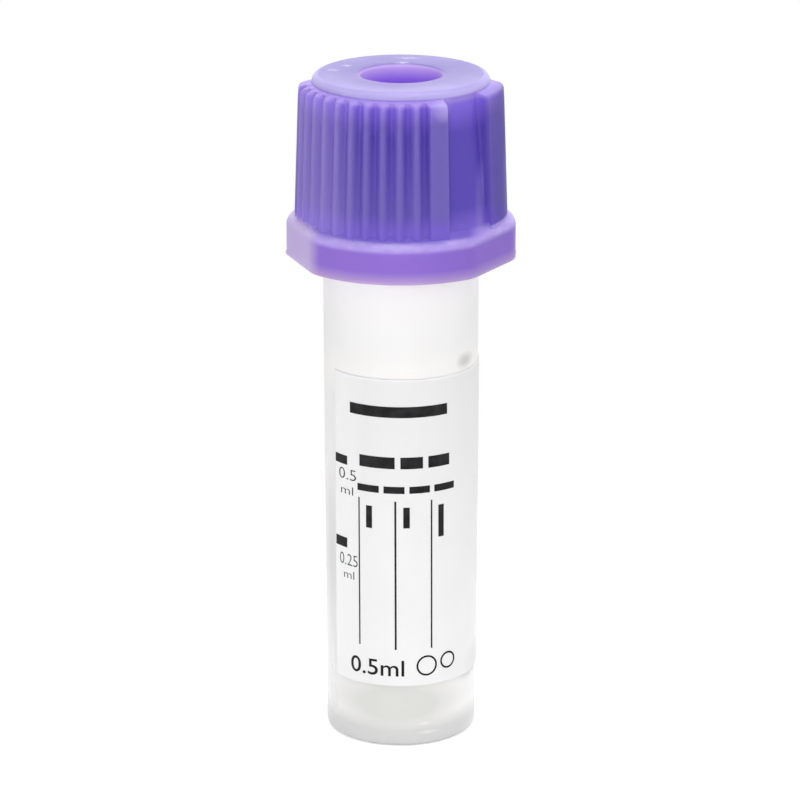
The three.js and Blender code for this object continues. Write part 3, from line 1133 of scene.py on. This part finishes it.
@dataclass
class FilmLabel:
    """The film wrapped most of the way round the tube."""

    tube: SampleTube
    bottom: float = 4.1
    height: float = 20.1
    thickness: float = 0.06
    standoff: float = 0.015
    start: float = -58.0
    span: float = 300.0
    columns: int = 301
    rows: int = 24
    edge: float = 0.10
    edge_proud: float = 0.006
    edge_sunk: float = 0.004
    finish: SatinFilm = field(default_factory=SatinFilm)

    def face(self, z: Length) -> Length:
        """The film's outer radius at a height, following the tube's draft."""
        return self.tube.outside(z) + self.standoff + self.thickness

    def graded(self, low: float, high: float, edge: float, count: int) -> Array:
        """Places from low to high, closer together over an edge's width at either end."""
        fine = edge * np.array([0.0, 0.15, 0.4, 0.7])
        return np.concatenate([low + fine, np.linspace(low + edge, high - edge, count), high - fine[::-1]])

    def build(self) -> Piece:
        """Builds the film, dresses it and lets it stand for its solid.

        Formula: over the edge's width the outer face falls by a quarter
        circle to just above the tube, and the inner face comes down onto it.

        Returns:
            The piece.
        """
        turn = math.degrees(self.edge / self.face(self.bottom))
        degrees = self.graded(self.start, self.start + self.span, turn, self.columns)[None, :]
        heights = self.graded(self.bottom, self.bottom + self.height, self.edge, self.rows)[:, None]
        beside = np.minimum(degrees - self.start, self.start + self.span - degrees) / turn
        beyond = np.minimum(heights - self.bottom, self.bottom + self.height - heights) / self.edge
        rise = np.sqrt(1 - (1 - np.clip(np.minimum(beside, beyond), 0.0, 1.0)) ** 2)
        fall = self.thickness + self.standoff - self.edge_proud
        outer = self.face(heights) - fall * (1 - rise)
        inner = self.face(heights) - self.thickness - (self.standoff + self.edge_sunk) * (1 - rise)
        points, quads = sheet_arrays(placed(outer, degrees, heights), placed(inner, degrees, heights))
        piece = piece_from("film_label", points, [quads])
        return seated(piece, self.finish.make(), Body.TUBE, "label")


@dataclass(frozen=True)
class Bar:
    """A printed bar or line on the film, in millimetres from the film's left edge."""

    left: float
    right: float
    low: float
    high: float


@dataclass(frozen=True)
class Ring:
    """A printed ring on the film."""

    across: float
    up: float
    radius: float
    stroke: float


@dataclass(frozen=True)
class Figure:
    """A printed number or unit on the film, set to a width and a height."""

    text: str
    left: float
    right: float
    low: float
    high: float
    weight: Weight


@dataclass
class LabelPrint:
    """Generic printing: the scale, its numbers, three write-in lines and plain bars."""

    label: FilmLabel
    proud: float = 0.010
    sunk: float = 0.004
    bars: tuple[Bar, ...] = (
        Bar(0.14, 1.24, 18.29, 18.87),
        Bar(0.14, 1.20, 12.86, 13.50),
        Bar(2.11, 2.20, 6.68, 16.40),
        Bar(4.47, 4.59, 6.56, 16.34),
        Bar(6.76, 6.86, 6.55, 16.34),
        Bar(1.50, 7.90, 21.75, 22.45),
        Bar(2.20, 4.50, 18.45, 19.20),
        Bar(4.85, 6.25, 18.45, 19.20),
        Bar(6.60, 8.07, 18.45, 19.20),
        Bar(2.05, 3.50, 16.85, 17.30),
        Bar(3.80, 5.10, 16.85, 17.30),
        Bar(5.40, 6.70, 16.85, 17.30),
        Bar(7.00, 8.45, 16.85, 17.30),
        Bar(2.65, 3.05, 14.50, 15.95),
        Bar(5.02, 5.42, 14.60, 15.95),
        Bar(7.28, 7.66, 13.85, 15.95),
    )
    rings: tuple[Ring, ...] = (
        Ring(6.50, 5.42, 0.62, 0.12),
        Ring(7.98, 5.55, 0.50, 0.12),
    )
    figures: tuple[Figure, ...] = (
        Figure("0.5", 0.50, 1.94, 17.34, 18.04, Weight.LIGHT),
        Figure("ml", 0.68, 1.71, 16.38, 16.91, Weight.LIGHT),
        Figure("0.25", 0.53, 2.02, 11.72, 12.46, Weight.LIGHT),
        Figure("ml", 0.91, 1.75, 10.86, 11.37, Weight.LIGHT),
        Figure("0.5ml", 1.47, 5.05, 4.77, 5.85, Weight.BOLD),
    )
    finish: PrintInk = field(default_factory=PrintInk)

    def wrapped_round(self, across: Array, up: Array, out: Length) -> Array:
        """Wraps flat print round the film: the angle is the film's left edge plus across over radius."""
        radius = self.label.face(up)
        return placed(radius + out, self.label.start + np.degrees(across / radius), up)

    def bar_arrays(self, bar: Bar, first: int) -> tuple[Array, Array]:
        """A bar as a thin sheet, with a column about every 0.2 mm.

        Args:
            bar: the bar.
            first: number of its first vertex.

        Returns:
            Vertices and quads.
        """
        columns = max(2, int((bar.right - bar.left) / 0.2) + 2)
        across = np.linspace(bar.left, bar.right, columns)[None, :]
        up = np.linspace(bar.low, bar.high, 2)[:, None]
        across, up = np.broadcast_arrays(across, up)
        outer, inner = (self.wrapped_round(across, up, out) for out in (self.proud, -self.sunk))
        return sheet_arrays(outer, inner, first)

    def ring_arrays(self, ring: Ring, first: int) -> tuple[Array, Array]:
        """A ring as a closed square section carried round a circle.

        Args:
            ring: the ring.
            first: number of its first vertex.

        Returns:
            Vertices and quads.
        """
        count = 48
        turn = np.linspace(0.0, 2 * math.pi, count, endpoint=False)[:, None]
        radius = ring.radius + np.array([[-0.5, 0.5, 0.5, -0.5]]) * ring.stroke
        out = np.array([[self.proud, self.proud, -self.sunk, -self.sunk]])
        across = ring.across + radius * np.cos(turn)
        up = ring.up + radius * np.sin(turn)
        points = self.wrapped_round(across, up, out).reshape(-1, 3)
        step = np.arange(count)[:, None]
        side = np.arange(4)[None, :]
        here, ahead = step * 4, (step + 1) % count * 4
        beside = (side + 1) % 4
        corners = [here + side, here + beside, ahead + beside, ahead + side]
        return points, np.stack(corners, axis=2).reshape(-1, 4) + first

    def build(self) -> Piece:
        """Builds all the print as one piece and lets it ride on the tube.

        Returns:
            The piece.
        """
        points, quads, first = [], [], 0
        for mark in (*self.bars, *self.rings):
            make = self.bar_arrays if isinstance(mark, Bar) else self.ring_arrays
            more_points, more_quads = make(mark, first)
            points.append(more_points)
            quads.append(more_quads)
            first += len(more_points)
        piece = piece_from("label_print", np.concatenate(points), [np.concatenate(quads)], sharp=25.0)
        for figure in self.figures:
            self.add_figure(piece, figure)
        return seated(piece, self.finish.make(), Body.TUBE)

    def add_figure(self, piece: Piece, figure: Figure) -> None:
        """Adds a number to the print.

        The number's own mesh is scaled to its width and height, wrapped round
        the film and joined to the piece's mesh.

        Args:
            piece: the print so far.
            figure: the number.
        """
        curve = bpy.data.curves.new("figure", "FONT")
        curve.body = figure.text
        curve.extrude = 0.5
        curve.offset = figure.weight.value
        curve.resolution_u = 4
        text = linked("figure", curve)
        graph = bpy.context.evaluated_depsgraph_get()
        mesh = bpy.data.meshes.new_from_object(text.evaluated_get(graph))
        bpy.data.objects.remove(text)
        bpy.data.curves.remove(curve)
        flat = np.empty(len(mesh.vertices) * 3, np.float32)
        mesh.vertices.foreach_get("co", flat)
        flat = flat.reshape(-1, 3).astype(float)
        low, high = flat.min(axis=0), flat.max(axis=0)
        share = (flat - low) / (high - low)
        across = figure.left + share[:, 0] * (figure.right - figure.left)
        up = figure.low + share[:, 1] * (figure.high - figure.low)
        out = -self.sunk + share[:, 2] * (self.proud + self.sunk)
        points = self.wrapped_round(across, up, out) * MM
        mesh.vertices.foreach_set("co", points.astype(np.float32).ravel())
        joined = bmesh.new()
        joined.from_mesh(mesh)
        bmesh.ops.remove_doubles(joined, verts=joined.verts, dist=0.5e-6)
        bmesh.ops.recalc_face_normals(joined, faces=joined.faces)
        joined.to_mesh(mesh)
        joined.clear()
        joined.from_mesh(piece.data)
        joined.from_mesh(mesh)
        joined.to_mesh(piece.data)
        joined.free()
        bpy.data.meshes.remove(mesh)


# --- Studio ---


@dataclass(frozen=True)
class Lamp:
    """A square lamp that faces the object: its place and side in metres, its power in watts."""

    name: str
    place: Place
    size: float
    power: float


@dataclass
class Studio:
    """The pale floor, the soft lights, the white surroundings and the camera."""

    floor_color: Color = srgb(236, 236, 238)
    floor_lift: float = 0.45
    floor_reach: float = 2000.0
    shade_reach: float = 0.05
    surroundings: float = 0.2
    aim: Place = (0.0, 0.0, 0.025)
    lens: float = 174.15
    camera_place: Place = (-0.00006, -0.22878, 0.09568)
    camera_elevation: float = 18.0
    lamps: tuple[Lamp, ...] = (
        Lamp("overhead", (0.02, 0.05, 0.45), 0.35, 1.9),
        Lamp("front", (0.0, -0.45, 0.24), 0.35, 0.30),
        Lamp("low_front", (-0.05, -0.42, 0.05), 0.25, 0.60),
        Lamp("low_left", (-0.30, -0.25, 0.04), 0.25, 0.62),
        Lamp("fill", (0.36, -0.22, 0.12), 0.30, 0.50),
        Lamp("right", (0.40, 0.08, 0.10), 0.30, 0.22),
        Lamp("back", (0.0, 0.38, 0.20), 0.40, 0.40),
    )

    def split(self, shading: Shading, lit: Socket, seen: Socket) -> Socket:
        """One shader for the light that falls on things, and one for rays that show it.

        Args:
            shading: the tree under construction.
            lit: the shader for all other rays.
            seen: the shader for camera, glossy and transmission rays.

        Returns:
            The mixed shader's socket.
        """
        rays = shading.add("LightPath")
        shown = shading.math("MAXIMUM", rays.outputs["Is Camera Ray"], rays.outputs["Is Glossy Ray"])
        shown = shading.math("MAXIMUM", shown, rays.outputs["Is Transmission Ray"])
        return shading.add("MixShader", {0: shown, 1: lit, 2: seen}).outputs[0]

    def glowing(self, shading: Shading, kind: str, strength: float) -> Socket:
        """A white Emission or Background shader of a strength."""
        return shading.add(kind, {"Color": (1, 1, 1, 1), "Strength": strength}).outputs[0]

    def floor(self) -> None:
        """Makes the floor, white to the camera but for the object's soft shadow."""
        corners = np.array([[-1.0, -1.0, 0.0], [1.0, -1.0, 0.0], [1.0, 1.0, 0.0], [-1.0, 1.0, 0.0]])
        piece = piece_from("studio_floor", corners * self.floor_reach, [np.array([[0, 1, 2, 3]])])
        shading = Shading(bpy.data.materials.new("pale_floor"))
        lit = shading.add("BsdfDiffuse", {"Color": self.floor_color}).outputs[0]
        lift = self.glowing(shading, "Emission", self.floor_lift)
        near = shading.add("AddShader", {0: lit, 1: lift}).outputs[0]
        distance = shading.length(shading.place())
        fade = shading.moved(distance, (self.shade_reach * 0.3, self.shade_reach))
        white = self.glowing(shading, "Emission", 1.0)
        seen = shading.add("MixShader", {0: fade, 1: near, 2: white}).outputs[0]
        piece.data.materials.append(shading.finished(self.split(shading, lit, seen)))

    def world(self) -> None:
        """Lights from all round, and shows white behind the object."""
        shading = Shading(bpy.data.worlds.new("studio"), "World")
        lit, seen = (self.glowing(shading, "Background", power) for power in (self.surroundings, 1.0))
        bpy.context.scene.world = shading.finished(self.split(shading, lit, seen))

    def hang(self, lamp: Lamp) -> None:
        """Hangs a lamp in its place, turned to the object.

        Args:
            lamp: the lamp.
        """
        data = bpy.data.lights.new(lamp.name, "AREA")
        data.shape = "SQUARE"
        data.size = lamp.size
        data.energy = lamp.power
        piece = linked(lamp.name, data)
        piece.location = lamp.place
        piece.rotation_euler = (Vector(self.aim) - Vector(lamp.place)).to_track_quat("-Z", "Y").to_euler()

    def camera(self) -> None:
        """Makes the camera, level from side to side and looking down a little."""
        data = bpy.data.cameras.new("camera")
        data.lens = self.lens
        data.sensor_width = 36.0
        data.clip_start = 0.01
        camera = linked("camera", data)
        camera.location = self.camera_place
        camera.rotation_euler = (math.radians(90.0 - self.camera_elevation), 0.0, 0.0)
        bpy.context.scene.camera = camera

    def build(self) -> None:
        """Sets up camera, surroundings, floor and lamps."""
        bpy.context.scene.view_settings.view_transform = "Standard"
        self.camera()
        self.world()
        self.floor()
        for lamp in self.lamps:
            self.hang(lamp)


def seated(
    piece: Piece, material: bpy.types.Material, body: Body, node: str | None = None
) -> Piece:
    """Dresses a piece, and lets it ride on its body and stand for its solid.

    Args:
        piece: the built piece.
        material: its finish.
        body: the body it moves with.
        node: the solid it stands for, if it stands for one.

    Returns:
        The same piece.
    """
    piece.data.materials.append(material)
    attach(piece, body.value)
    if node is not None:
        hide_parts(node)
    return piece


def report(piece: Piece) -> None:
    """Logs a piece's name, its triangles and its box in millimetres.

    Args:
        piece: the finished piece.
    """
    piece.data.calc_loop_triangles()
    low, high = Vector(piece.bound_box[0]), Vector(piece.bound_box[6])
    size = [round(edge / MM, 3) for edge in high - low]
    log.info("%s: %d triangles, %s mm", piece.name, len(piece.data.loop_triangles), size)


def main() -> None:
    """Builds the tube, cap, label and print in order, then the studio."""
    tube = SampleTube()
    cap = PullCap(tube)
    label = FilmLabel(tube)
    for part in (tube, cap, label, LabelPrint(label)):
        report(part.build())
    Studio().build()


if __name__ == "__main__":
    logging.basicConfig(level=logging.INFO, format="%(message)s")
    main()
